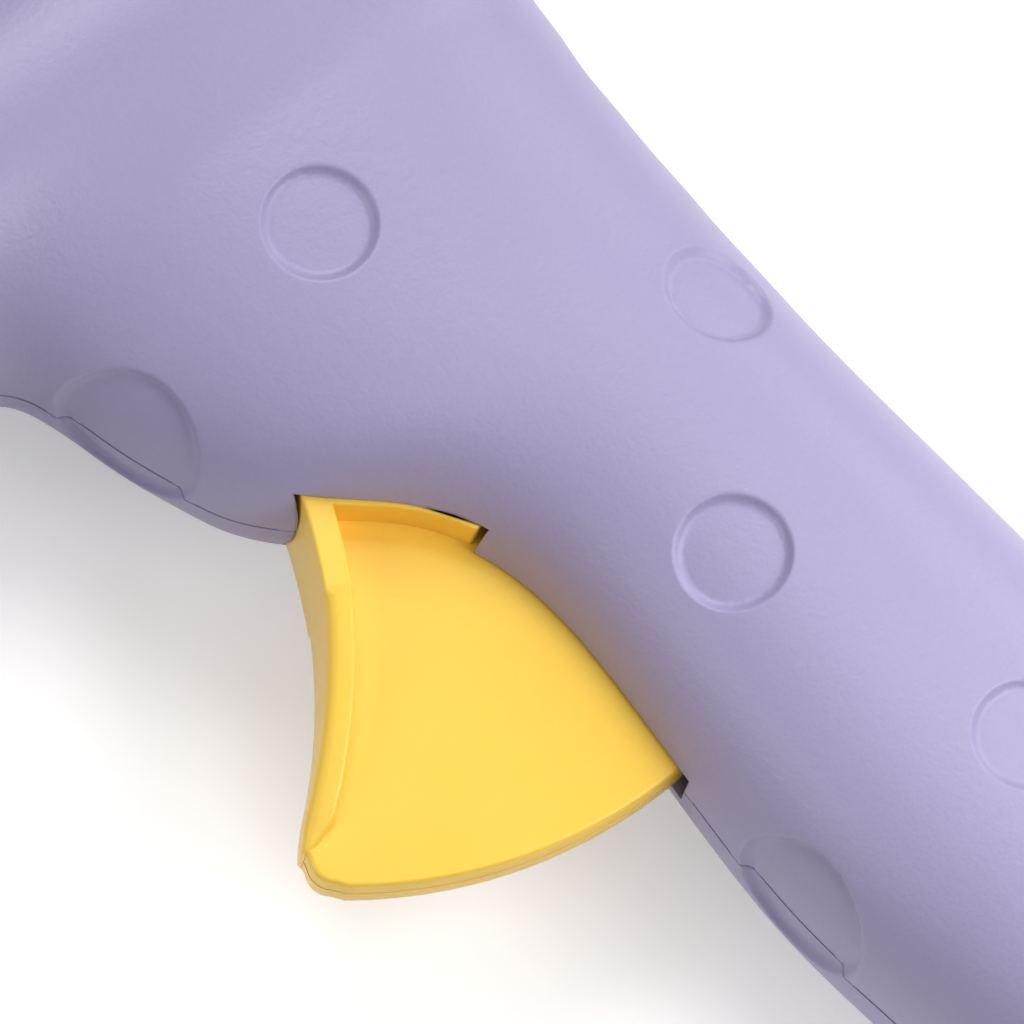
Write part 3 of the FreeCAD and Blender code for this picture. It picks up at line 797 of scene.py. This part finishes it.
def split_faces(piece: bpy.types.Object) -> None:
    """Cut every face of a piece into triangles.

    Args:
        piece: the piece.
    """
    shape = bmesh.new()
    shape.from_mesh(piece.data)
    bmesh.ops.triangulate(shape, faces=shape.faces[:])
    shape.to_mesh(piece.data)
    shape.free()


def combine(piece: bpy.types.Object, tool: bpy.types.Object, operation: str) -> None:
    """Boolean of a piece with a tool, which is then removed.

    Args:
        piece: the piece that is changed.
        tool: the solid that is cut out or joined on.
        operation: the modifier's operation.
    """
    split_faces(tool)
    step = piece.modifiers.new("combine", "BOOLEAN")
    step.operation = operation
    step.solver = "MANIFOLD"
    step.object = tool
    bake_modifiers(piece)
    bpy.data.objects.remove(tool, do_unlink=True)


def bake_modifiers(piece: bpy.types.Object) -> None:
    """Replace a piece's mesh by what its modifiers make of it.

    Args:
        piece: the piece.
    """
    bpy.context.view_layer.update()
    graph = bpy.context.evaluated_depsgraph_get()
    mesh = bpy.data.meshes.new_from_object(piece.evaluated_get(graph))
    mesh.name = piece.name
    piece.modifiers.clear()
    piece.data = mesh


def shade_smooth(piece: bpy.types.Object, angle: float) -> None:
    """Shade a piece smooth.

    Args:
        piece: the piece.
        angle: edges above this angle in degrees stay sharp.
    """
    mesh = piece.data
    mesh.shade_smooth()
    mesh.set_sharp_from_angle(angle=math.radians(angle))


def round_edges(piece: bpy.types.Object, width: float, segments: int = 3,
                angle: float = 30.0) -> None:
    """Round the sharp edges of a piece.

    Args:
        piece: the piece.
        width: width of the rounding in millimetres.
        segments: faces across the rounding.
        angle: edges above this angle in degrees are rounded.
    """
    step = piece.modifiers.new("edges", "BEVEL")
    step.width = width * MM
    step.segments = segments
    step.limit_method = "ANGLE"
    step.angle_limit = math.radians(angle)
    bake_modifiers(piece)


# ------------------------------------------------------------------ housing

@dataclass
class TriggerSweep:
    """Opening of the housing that the trigger swings in."""

    pivot: Flat = TRIGGER_PIVOT
    block_radius: float = 18.8
    block_half: float = 6.2
    block_front: float = -4.35
    block_top: float = -3.0
    web_radius: float = 45.1
    web_half: float = 2.3
    web_front: float = -2.0
    web_top: float = -6.0
    rear: float = 22.0
    steps: int = 32

    def field(self, points: np.ndarray) -> np.ndarray:
        """Distance to the opening, below zero inside it.

        Args:
            points: datum places.

        Returns:
            The field at each place.
        """
        x, y, z = points[:, 0], points[:, 1], np.abs(points[:, 2])
        radius = np.hypot(x - self.pivot[0], y - self.pivot[1])
        level = y - self.pivot[1]
        wide = np.maximum.reduce([
            radius - self.block_radius, self.block_front - x, level - self.block_top, z - self.block_half])
        thin = np.maximum.reduce([
            radius - self.web_radius, self.web_front - x, x - self.rear, level - self.web_top,
            z - self.web_half])
        return np.minimum(wide, thin)

    def outlines(self) -> list[tuple[list[Flat], float]]:
        """Shapes that are cut out of the housing.

        Returns:
            Outline and half width of the wide and of the thin part.
        """
        shapes = []
        for radius, low, half in (
            (self.block_radius, self.block_front, self.block_half),
            (self.web_radius, self.web_front, self.web_half),
        ):
            outline = []
            for k in range(self.steps + 1):
                x = low + (min(self.rear, self.pivot[0] + radius * 0.9) - low) * k / self.steps
                drop = math.sqrt(radius ** 2 - (x - self.pivot[0]) ** 2)
                outline.append((x, self.pivot[1] - drop))
            outline.append((outline[-1][0], self.pivot[1] + self.block_top))
            outline.append((low, self.pivot[1] + self.block_top))
            shapes.append((outline, half))
        return shapes


@dataclass
class Housing:
    """Two-half housing with round recesses, a parting line and its openings."""

    datum: Datum
    wall: float = 2.2
    step: float = 0.75
    parting_gap: float = 0.05
    edge_drop: float = 0.1
    edge_rounding: float = 0.25
    edge_reach: float = 2.0
    edge_clear: float = 0.02
    low: Point = (-76, -118, -20.7)
    high: Point = (52, 23, 20.7)
    hollow_step: float = 2.0
    hollow_half: float = 22.0
    refined: float = 0.9
    refined_more: float = 0.6
    refined_depth: float = 5.0
    edge_height: float = 0.32
    nozzle_bore: float = 8.6
    inlet_bore: float = 8.0
    gland_bore: float = 5.25
    gland_along: float = 31.0
    screw_bore: float = 3.0
    screw_level: float = -7.5
    lug_centre: Flat = (-60.0, -16.4)
    lug_radius: float = 3.0
    lug_height: float = 5.5
    lug_sides: Flat = (4.0, 9.0)
    lug_bore: float = 1.35
    screws: tuple[Flat, ...] = (
        (-60.0, 11.4), (-31.0, 13.0), (31.0, 11.8), (-9.0, -19.0), (33.5, -42.0), (19.0, -88.0),
        (40.5, -87.0))

    def __post_init__(self) -> None:
        """Lay out the recesses and the form."""
        small = [
            (9.4, -21.5, 15), (19.7, -64.0, 15), (29.6, -91.2, 15), (32.4, -45.3, 9),
            (-16.0, 3.0, 17), (-46.0, -2.0, 17), (-31.0, 12.5, 12), (22.0, 10.5, 14), (-60.0, 9.0, 12),
            (33.0, -107.0, 15),
            (12.0, -18.0, -15), (24.0, -43.0, -15), (15.0, -68.0, -15), (33.0, -76.0, -14),
            (24.0, -103.0, -15),
            (-20.0, 6.0, -17), (-44.0, 1.0, -17), (-66.0, 3.0, -13), (2.0, 9.0, -16), (27.0, -2.0, -16),
        ]
        large = [
            (-12.0, -25.0, 3.2), (7.9, -89.7, 3.2), (40.5, -22.0, -2.0), (42.0, -55.0, -2.5),
            (46.2, -92.0, 1.0), (-48.0, 18.5, 2.0), (-8.0, 18.6, -2.5), (27.0, 17.4, 2.0),
            (-44.0, -13.6, -2.0),
        ]
        dimples = [Dimple(place) for place in small]
        dimples += [Dimple(place, outer=7.2, inner=6.1, depth=0.8) for place in large]
        self.form = HousingForm(dimples=dimples)
        self.form.settle()
        self.sweep = TriggerSweep()

    def skin(self, points: np.ndarray) -> np.ndarray:
        """Field of the outer skin, with softened edges round the trigger opening.

        Args:
            points: datum places.

        Returns:
            The field at each place.
        """
        value = self.form.dimpled(points)
        opening = -self.sweep.field(points)
        near = opening > -self.edge_reach
        value[near] = soft_max(value[near], opening[near] - self.edge_clear, self.edge_rounding)
        return value

    def hollow(self, points: np.ndarray) -> np.ndarray:
        """Field of the space inside the walls."""
        return self.form.plain(points) + self.wall

    def refine(self, shape: bmesh.types.BMesh, cuts: int) -> None:
        """Subdivide the faces on the walls of the recesses and along the trigger opening.

        Args:
            shape: mesh of the outer form.
            cuts: round of the refinement, from 1; later rounds keep closer to the edges.
        """
        centres = np.array([face.calc_center_median() for face in shape.faces])
        reach = self.refined + self.refined_more / cuts
        chosen = np.abs(self.sweep.field(centres)) < reach
        for dimple, centre, axis in zip(self.form.dimples, self.form.centres, self.form.axes):
            gap = centres - centre
            away = gap @ axis
            radius = np.linalg.norm(gap - away[:, None] * axis, axis=1)
            middle = (dimple.outer + dimple.inner) / 2
            chosen |= (np.abs(radius - middle) < reach) & (np.abs(away) < self.refined_depth)
        shape.faces.ensure_lookup_table()
        edges = {edge for index in np.nonzero(chosen)[0] for edge in shape.faces[index].edges}
        bmesh.ops.subdivide_edges(shape, edges=list(edges), cuts=1, use_grid_fill=True)

    def outer(self) -> bmesh.types.BMesh:
        """Closed mesh of the whole outer form.

        Returns:
            The mesh.
        """
        lattice = Lattice(self.low, self.high, self.step)
        points, quads = lattice.surface(self.form.plain)
        shape = bmesh.new()
        verts = [shape.verts.new(point) for point in self.form.onto(points, self.form.plain)]
        for quad in quads:
            shape.faces.new([verts[k] for k in quad])
        shape.normal_update()
        for cuts in (1, 2):
            self.refine(shape, cuts)
            self.move_onto(shape)
        return shape

    def outer_half(self, whole: bmesh.types.BMesh, side: int) -> bmesh.types.BMesh:
        """Closed mesh of one half's outer form, with its parting edge eased.

        Args:
            whole: mesh of the whole outer form.
            side: 1 for the near half, -1 for the far half.

        Returns:
            The half.
        """
        shape = whole.copy()
        for height, clear in ((self.edge_height, False), (self.parting_gap, True)):
            bmesh.ops.bisect_plane(
                shape, geom=shape.verts[:] + shape.edges[:] + shape.faces[:], dist=1e-5,
                plane_co=(0, 0, side * height), plane_no=(0, 0, side), clear_inner=clear)
        rim = [vert for vert in shape.verts if abs(vert.co.z) < self.parting_gap + 0.01]
        normals = self.form.outward(np.array([vert.co for vert in rim]), self.skin)
        for vert, normal in zip(rim, normals):
            vert.co -= Vector((normal[0], normal[1], 0)) * self.edge_drop
        border = [edge for edge in shape.edges if edge.is_boundary]
        bmesh.ops.holes_fill(shape, edges=border)
        return shape

    def move_onto(self, shape: bmesh.types.BMesh) -> None:
        """Move every vertex onto the skin.

        Args:
            shape: mesh of the outer form.
        """
        points = np.array([vert.co for vert in shape.verts])
        for vert, point in zip(shape.verts, self.form.onto(points, self.skin, 4)):
            vert.co = point

    def cutters(self, side: int) -> list[Solid]:
        """Solids that are cut out of one half.

        Args:
            side: 1 for the near half, -1 for the far half with the screw holes.

        Returns:
            Points and faces of each solid.
        """
        tools = [prism(outline, -half, half) for outline, half in self.sweep.outlines()]
        tools.append(tube_mesh((-90, 0, 0), (-66, 0, 0), self.nozzle_bore))
        tools.append(tube_mesh((36, 0, 0), (60, 0, 0), self.inlet_bore))
        tools.append(tube_mesh((self.gland_along, -130, 0), (self.gland_along, -108, 0), self.gland_bore))
        if side < 0:
            seats = [((x, y, self.screw_level), (x, y, -40)) for x, y in self.screws]
            tools += [tube_mesh(start, end, self.screw_bore) for start, end in seats]
        return tools

    def lug(self, side: int) -> bpy.types.Object:
        """Ear under the barrel that carries the wire stand.

        Args:
            side: 1 for the near half, -1 for the far half.

        Returns:
            The ear.
        """
        (along, level), radius = self.lug_centre, self.lug_radius
        outline = [(along + radius * math.cos(angle), level + radius * math.sin(angle))
                   for angle in np.radians(np.linspace(180, 360, 25))]
        outline += [(along + radius, level + self.lug_height), (along - radius, level + self.lug_height)]
        low, high = sorted(side * end for end in self.lug_sides)
        ear = piece_from("ear", *prism(outline, low, high), self.datum)
        round_edges(ear, 0.4)
        return ear

    def build(self) -> None:
        """Build both halves and dress them."""
        whole = self.outer()
        low, high = (*self.low[:2], -self.hollow_half), (*self.high[:2], self.hollow_half)
        inner_points, inner_quads = Lattice(low, high, self.hollow_step).surface(self.hollow)
        inner_points = self.form.onto(inner_points, self.hollow, 3)
        for name, side, node in (("HousingRight", 1, "right_shell"), ("HousingLeft", -1, "left_shell")):
            shape = self.outer_half(whole, side)
            shape.verts.index_update()
            points = np.array([vert.co for vert in shape.verts])
            faces = [[vert.index for vert in face.verts] for face in shape.faces]
            half = piece_from(name, points, faces, self.datum)
            combine(half, piece_from("hollow", inner_points, inner_quads, self.datum), "DIFFERENCE")
            for count, (tool_points, tool_faces) in enumerate(self.cutters(side)):
                combine(half, piece_from(f"cut_{count}", tool_points, tool_faces, self.datum), "DIFFERENCE")
            combine(half, self.lug(side), "UNION")
            hole = tube_mesh((*self.lug_centre, -14), (*self.lug_centre, 14), self.lug_bore)
            combine(half, piece_from("pivot", *hole, self.datum), "DIFFERENCE")
            shade_smooth(half, 40)
            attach(half, "housing")
            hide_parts(node)
            dress(half, Finish.HOUSING)
            shape.free()
        whole.free()


# ------------------------------------------------------------------ trigger

@dataclass(frozen=True)
class Station:
    """One cross-section of the finger plate: place of its face, half width, roundings, thickness."""

    place: Flat
    half: float
    front_round: float
    back_round: float
    thick: float


@dataclass
class Trigger:
    """Swing trigger: tapering finger plate, thin web and wide guard block, moulded in one."""

    datum: Datum
    pivot: Flat = TRIGGER_PIVOT
    web_radius: float = 43.85
    web_half: float = 2.1
    web_rounding: float = 0.8
    flash: float = 0.07
    flash_half: float = 0.14
    block_rounding: float = 0.25
    pad_half: float = 6.0
    pad_thick: float = 2.35
    foot_thick: float = 1.0
    thin_from: float = -58.8
    thin_over: float = 3.1
    top_level: float = -35.2
    foot_level: float = -61.9
    rows: int = 64
    widest_below: float = 5.93
    pad_rounds: Flat = (0.3, 0.2)
    lower_rounds: Flat = (1.05, 0.4)
    foot_centre: Flat = (-19.75, -63.55)
    foot_round: float = 2.1
    step_level: float = -45.6

    def __post_init__(self) -> None:
        """Lay out the finger face and the plate's half width down it."""
        levels = [-61.5, -59.7, -58.0, -56.0, -53.2, -48.8, -45.7, -43.2, -38.3, -35.0]
        front = [-21.55, -19.95, -18.0, -15.8, -13.1, -9.55, -7.5, -6.2, -4.05, -3.0]
        self.front = Curve(levels, front)
        down = [-62.5, -61.0, -59.5, -57.5, -55, -52, -49, -46, -35]
        self.half = Curve(down, [1.7, 2.35, 3.0, 3.75, 4.45, 5.05, 5.55, 5.9, 6.0])

    def stations(self) -> list[Station]:
        """Cross-sections of the finger plate from its top to its foot.

        Returns:
            The cross-sections.
        """
        rows = []
        for level in np.linspace(self.top_level, self.foot_level, self.rows):
            upper = level > self.step_level
            place = (float(self.front.at(level)), float(level))
            half = self.pad_half if upper else min(float(self.half.at(level)), self.widest_below)
            thinner = float(ramp((self.thin_from - level) / self.thin_over))
            thick = self.pad_thick - (self.pad_thick - self.foot_thick) * thinner
            front_round, back_round = self.pad_rounds if upper else self.lower_rounds
            if not upper:
                front_round = min(front_round, half * 0.6, thick * 0.5)
            rows.append(Station(place, half, front_round, back_round, thick))
        return rows

    def section(self, station: Station) -> list[Flat]:
        """Points round one cross-section.

        Args:
            station: the cross-section.

        Returns:
            Depth and height of each point.
        """
        points = []
        corners = (
            (station.front_round, -station.half, station.front_round, 180),
            (station.thick - station.back_round, -station.half, station.back_round, 270),
            (station.thick - station.back_round, station.half, station.back_round, 0),
            (station.front_round, station.half, station.front_round, 90),
        )
        for depth, height, rounding, start in corners:
            middle = height + (rounding if height < 0 else -rounding)
            for k in range(7):
                angle = math.radians(start + 90 * k / 6)
                points.append((depth + rounding * math.cos(angle), middle + rounding * math.sin(angle)))
        return points

    def plate(self) -> Solid:
        """Closed mesh of the finger plate, swept down the finger face.

        Returns:
            Points and faces.
        """
        rows = self.stations()
        points = []
        for number, station in enumerate(rows):
            before, after = rows[max(number - 1, 0)].place, rows[min(number + 1, len(rows) - 1)].place
            along = Vector((after[0] - before[0], after[1] - before[1])).normalized()
            inward = Vector((-along.y, along.x))
            for depth, height in self.section(station):
                x, y = station.place
                points.append((x + inward.x * depth, y + inward.y * depth, height))
        ring = len(points) // len(rows)
        faces = [[ring - 1 - k for k in range(ring)], [len(points) - ring + k for k in range(ring)]]
        for row in range(len(rows) - 1):
            for k in range(ring):
                first, second = row * ring + k, row * ring + (k + 1) % ring
                faces.append([first, second, second + ring, first + ring])
        return np.array(points), faces

    def web(self, grow: float = 0.0) -> list[Flat]:
        """Outline of the thin web, with its rounded foot.

        Args:
            grow: how far the outline stands out, for the fine mould line.

        Returns:
            Its corners.
        """
        outline = [(float(self.front.at(level)) + 0.15 - grow, float(level))
                   for level in np.linspace(-38.0, -61.6, 40)]
        for centre, radius, first, last, count in (
            (self.foot_centre, self.foot_round, 152, 233, 16),
            (self.pivot, self.web_radius, 234.5, 276.0, 60),
        ):
            reach = radius + grow
            for angle in np.radians(np.linspace(first, last, count)):
                outline.append((centre[0] + reach * math.cos(angle), centre[1] + reach * math.sin(angle)))
        return outline + [(10.4, -46.0), (9.4, -31.0), (0.0, -31.0)]

    def block(self) -> list[Flat]:
        """Outline of the guard block, whose underside follows the edge of the housing.

        Returns:
            Its corners.
        """
        underside = Curve([-4.0, -1.2, 1.0, 3.1, 4.9, 6.25], [-38.2, -40.6, -42.3, -44.2, -46.4, -48.55])
        lower = [(float(x), float(underside.at(x))) for x in np.linspace(-4.0, 6.25, 30)]
        return lower + [(6.9, -48.45), (9.4, -46.4), (9.9, -31.5), (-1.5, -31.5)]

    def build(self) -> None:
        """Build and dress the trigger."""
        piece = piece_from("TriggerMoulding", *self.plate(), self.datum)
        parts = (
            (self.block(), self.pad_half, self.block_rounding),
            (self.web(), self.web_half, self.web_rounding),
            (self.web(self.flash), self.flash_half, 0.0),
        )
        for outline, half, rounding in parts:
            part = piece_from("part", *prism(outline, -half, half), self.datum)
            if rounding:
                round_edges(part, rounding, 5)
            combine(piece, part, "UNION")
        shade_smooth(piece, 42)
        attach(piece, "trigger")
        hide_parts("trigger")
        dress(piece, Finish.TRIGGER)


# ------------------------------------------------------------------ works that the frame already shapes

class Works:
    """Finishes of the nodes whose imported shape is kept."""

    FINISHES = {
        Finish.BRASS: ("nozzle",),
        Finish.NOZZLE_RUBBER: ("nozzle_sleeve",),
        Finish.COLLAR: ("nozzle_collar",),
        Finish.ALUMINIUM: ("melt_chamber",),
        Finish.CERAMIC: ("ptc_heater",),
        Finish.INNER_RUBBER: ("inlet_sleeve",),
        Finish.WORKS: ("stick_guide", "feed_carriage", "cord_clamp"),
        Finish.GLAND_RUBBER: ("cord_gland",),
        Finish.LEADS: ("heater_leads", "lead_splices"),
        Finish.WIRE: ("wire_stand",),
        Finish.STEEL: (
            "trigger_pin", "drive_pin", "return_spring", "feed_jaw", "jaw_pin", "guide_rod", "sleeve_clip",
            "clamp_screws", "case_screws",
        ),
    }

    def build(self, nodes: dict[str, bpy.types.Object]) -> None:
        """Dress every kept node.

        Args:
            nodes: the frame's own objects, by node name.
        """
        for finish, names in self.FINISHES.items():
            for name in names:
                dress(nodes[name], finish)


# ------------------------------------------------------------------ studio

@dataclass(frozen=True)
class Lamp:
    """Soft square lamp, placed by the camera's own directions in metres from the gun."""

    name: str
    right: float
    up: float
    toward: float
    size: float
    watts: float


@dataclass
class Studio:
    """Pale floor, soft lamps and the camera."""

    LAMPS = (
        Lamp("key", 0.45, 0.45, 0.12, size=0.3, watts=1.1),
        Lamp("above", 0.0, 0.5, 0.35, size=0.3, watts=1.8),
        Lamp("top", 0.15, 0.0, 0.7, size=0.4, watts=0.6),
        Lamp("side", -0.5, 0.0, 0.4, size=0.3, watts=1.0),
        Lamp("near", 0.16, 0.0, 0.14, size=0.12, watts=0.27),
    )

    datum: Datum
    sight: Point = (-0.3016, -0.1866, 0.9350)
    upward: Point = (0.547, 0.769, 0.33)
    rightward: Point = (0.781, -0.611, 0.13)
    target: Flat = (11.5, -47.9)
    frame_width: float = 85.3
    distance: float = 1.2
    glow: float = 0.37
    surroundings: float = 0.1
    floor_half: float = 3.0

    def turn(self) -> Matrix:
        """Rotation of the camera."""
        return Matrix((self.rightward, self.upward, self.sight)).transposed()

    def camera(self) -> None:
        """Long-lens camera over the trigger."""
        lens = bpy.data.cameras.new("camera")
        lens.sensor_width = 36.0
        lens.lens = lens.sensor_width * self.distance / (self.frame_width * MM)
        lens.clip_start = 0.05
        lens.clip_end = 20.0
        view = bpy.data.objects.new("camera", lens)
        bpy.context.scene.collection.objects.link(view)
        view.matrix_world = self.turn().to_4x4()
        view.location = self.datum.place(*self.target) + Vector(self.sight).normalized() * self.distance
        bpy.context.scene.camera = view

    def light(self, lamp: Lamp) -> None:
        """Add a lamp that faces the gun.

        Args:
            lamp: the lamp.
        """
        light = bpy.data.lights.new(lamp.name, "AREA")
        light.size = lamp.size
        light.energy = lamp.watts
        item = bpy.data.objects.new(lamp.name, light)
        bpy.context.scene.collection.objects.link(item)
        offset = Vector(self.rightward) * lamp.right + Vector(self.upward) * lamp.up
        offset += Vector(self.sight) * lamp.toward
        item.location = self.datum.place(*self.target) + offset
        item.rotation_euler = offset.to_track_quat("Z", "Y").to_euler()

    def floor(self) -> None:
        """White sweep that takes a soft shadow."""
        shape = bmesh.new()
        bmesh.ops.create_grid(shape, x_segments=8, y_segments=8, size=self.floor_half)
        mesh = bpy.data.meshes.new("floor")
        shape.to_mesh(mesh)
        shape.free()
        floor = bpy.data.objects.new("floor", mesh)
        bpy.context.scene.collection.objects.link(floor)
        sheet = Sheet("floor")
        sheet.set(Base_Color=(0.93, 0.93, 0.93), Roughness=0.9, Specular_IOR_Level=0.1)
        glow = sheet.node("ShaderNodeEmission", None, {"Color": (1.0, 1.0, 1.0), "Strength": self.glow})
        lifted = sheet.node("ShaderNodeAddShader", None, {0: sheet.shader.outputs[0], 1: glow.outputs[0]})
        path = sheet.node("ShaderNodeLightPath")
        camera, glossy, passed = (
            Wire(sheet, path.outputs[f"Is {kind} Ray"]) for kind in ("Camera", "Glossy", "Transmission"))
        seen = (camera + glossy + passed).clamp(0.0, 1.0)
        sockets = {0: seen, 1: sheet.shader.outputs[0], 2: lifted.outputs[0]}
        share = sheet.node("ShaderNodeMixShader", None, sockets)
        sheet.feed(sheet.output.inputs["Surface"], share.outputs[0])
        mesh.materials.append(sheet.material)

    def world(self) -> None:
        """Even pale surroundings."""
        world = bpy.data.worlds.new("studio")
        world.use_nodes = True
        background = world.node_tree.nodes["Background"]
        background.inputs["Color"].default_value = (1.0, 1.0, 1.0, 1.0)
        background.inputs["Strength"].default_value = self.surroundings
        bpy.context.scene.world = world

    def build(self) -> None:
        """Set up floor, lamps, surroundings and camera."""
        self.floor()
        self.world()
        for lamp in self.LAMPS:
            self.light(lamp)
        self.camera()
        bpy.context.scene.view_settings.view_transform = "Standard"


def main() -> None:
    """Build the looks of the gun in order."""
    logging.basicConfig(level=logging.INFO, format="%(name)s %(message)s")
    datum = Datum(frame["record"])
    Housing(datum).build()
    Trigger(datum).build()
    Works().build(frame["nodes"])
    Studio(datum).build()


if __name__ == "__main__":
    main()
